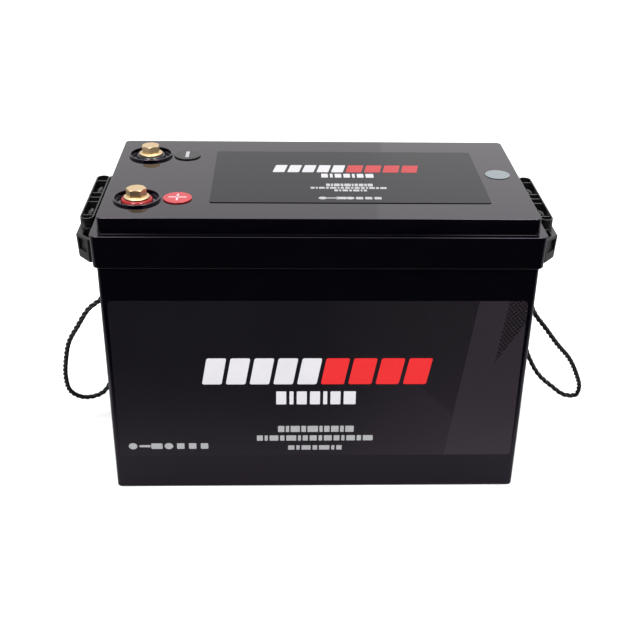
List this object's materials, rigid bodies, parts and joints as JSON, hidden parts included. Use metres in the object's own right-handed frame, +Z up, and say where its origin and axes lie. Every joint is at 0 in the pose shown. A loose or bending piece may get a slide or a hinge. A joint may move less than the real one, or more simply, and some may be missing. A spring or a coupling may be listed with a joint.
{
  "type": "deep cycle battery",
  "caption": "Sealed lithium deep cycle battery for a caravan: black box with lid, two bolt terminals, polarity discs, printed label and a rope handle at each end.",
  "frame": {"origin": "middle of the underside of the case", "axes": "+X along the box, terminals at the -X end; +Y across the box, the large label faces -Y; +Z up"},
  "size_m": [0.4646, 0.19, 0.2541],
  "materials": {
    "gloss_black_plastic": "gloss",
    "foam_rubber_seal": "matt",
    "label_film": "semi-gloss printed film",
    "silver_film": "metallic film",
    "red_plastic": "gloss",
    "black_plastic": "gloss",
    "grey_plastic": "satin",
    "brass": "polished",
    "spring_steel": "satin",
    "satin_black_plastic": "satin",
    "rope": "braided",
    "cell_wrap": "shrink film",
    "glass_board": "matt",
    "copper": "satin copper",
    "composite_board": "matt",
    "steel_band": "satin",
    "aluminium": "satin",
    "circuit_board": "solder mask",
    "cable": "matt",
    "harness": "matt"
  },
  "bodies": {
    "battery": {"case": "gloss_black_plastic", "lid": "gloss_black_plastic", "lid_seal": "foam_rubber_seal", "front_label": "label_film", "top_label": "label_film", "seal_sticker": "silver_film", "positive_terminal_ring": "red_plastic", "plus_disc": "red_plastic", "negative_terminal_ring": "black_plastic", "minus_disc": "grey_plastic", "positive_terminal_insert": "brass", "negative_terminal_insert": "brass", "left_handle_bracket": "satin_black_plastic", "left_rope_knot_front": "rope", "left_rope_knot_back": "rope", "right_handle_bracket": "satin_black_plastic", "right_rope_knot_front": "rope", "right_rope_knot_back": "rope", "cell_1": "cell_wrap", "cell_2": "cell_wrap", "cell_3": "cell_wrap", "cell_4": "cell_wrap", "cell_5": "cell_wrap", "cell_6": "cell_wrap", "cell_7": "cell_wrap", "cell_8": "cell_wrap", "cell_separator_1": "glass_board", "cell_separator_2": "glass_board", "cell_separator_3": "glass_board", "cell_separator_4": "glass_board", "cell_separator_5": "glass_board", "cell_separator_6": "glass_board", "cell_separator_7": "glass_board", "cover_board": "glass_board", "busbar_1": "copper", "busbar_2": "copper", "busbar_3": "copper", "busbar_4": "copper", "busbar_5": "copper", "busbar_6": "copper", "busbar_7": "copper", "positive_link": "copper", "end_plate_left": "composite_board", "end_plate_right": "composite_board", "cell_band": "steel_band", "manager_heat_sink": "aluminium", "manager_board": "circuit_board", "pack_lead": "cable", "negative_lead": "cable", "sense_harness": "harness"},
    "positive_washer": {"positive_spring_washer": "spring_steel"},
    "positive_bolt": {"positive_bolt": "brass"},
    "negative_washer": {"negative_spring_washer": "spring_steel"},
    "negative_bolt": {"negative_bolt": "brass"},
    "left_rope_root": {"left_rope_root_front": "rope", "left_rope_root_back": "rope"},
    "left_rope_handle": {"left_rope_loop": "rope"},
    "right_rope_root": {"right_rope_root_front": "rope", "right_rope_root_back": "rope"},
    "right_rope_handle": {"right_rope_loop": "rope"}
  },
  "joints": [
    {"name": "positive_bolt_lift", "type": "slide", "parent": "battery", "child": "positive_washer", "axis": [0, 0, 1], "range_m": [0, 0.0151]},
    {"name": "positive_bolt_turn", "type": "hinge", "parent": "positive_washer", "child": "positive_bolt", "pos_m": [-0.1408, -0.0507, 0.2467], "axis": [0, 0, 1], "range_deg": [0, 3600]},
    {"name": "negative_bolt_lift", "type": "slide", "parent": "battery", "child": "negative_washer", "axis": [0, 0, 1], "range_m": [0, 0.0151]},
    {"name": "negative_bolt_turn", "type": "hinge", "parent": "negative_washer", "child": "negative_bolt", "pos_m": [-0.1408, 0.0507, 0.2467], "axis": [0, 0, 1], "range_deg": [0, 3600]},
    {"name": "left_rope_bend", "type": "hinge", "parent": "battery", "child": "left_rope_root", "pos_m": [-0.178, 0, 0.197], "axis": [0, 1, 0], "range_deg": [0, 82]},
    {"name": "left_rope_swing", "type": "hinge", "parent": "left_rope_root", "child": "left_rope_handle", "pos_m": [-0.178, 0, 0.1835], "axis": [0, 1, 0], "range_deg": [0, 82]},
    {"name": "right_rope_bend", "type": "hinge", "parent": "battery", "child": "right_rope_root", "pos_m": [0.178, 0, 0.197], "axis": [0, -1, 0], "range_deg": [0, 82]},
    {"name": "right_rope_swing", "type": "hinge", "parent": "right_rope_root", "child": "right_rope_handle", "pos_m": [0.178, 0, 0.1835], "axis": [0, -1, 0], "range_deg": [0, 82]}
  ],
  "couplings": [
    {"joint": "positive_bolt_lift", "follows": "positive_bolt_turn", "m_per_rad": 0.00023873},
    {"joint": "negative_bolt_lift", "follows": "negative_bolt_turn", "m_per_rad": 0.00023873},
    {"joint": "left_rope_swing", "follows": "left_rope_bend", "ratio": 1},
    {"joint": "right_rope_swing", "follows": "right_rope_bend", "ratio": 1}
  ]
}
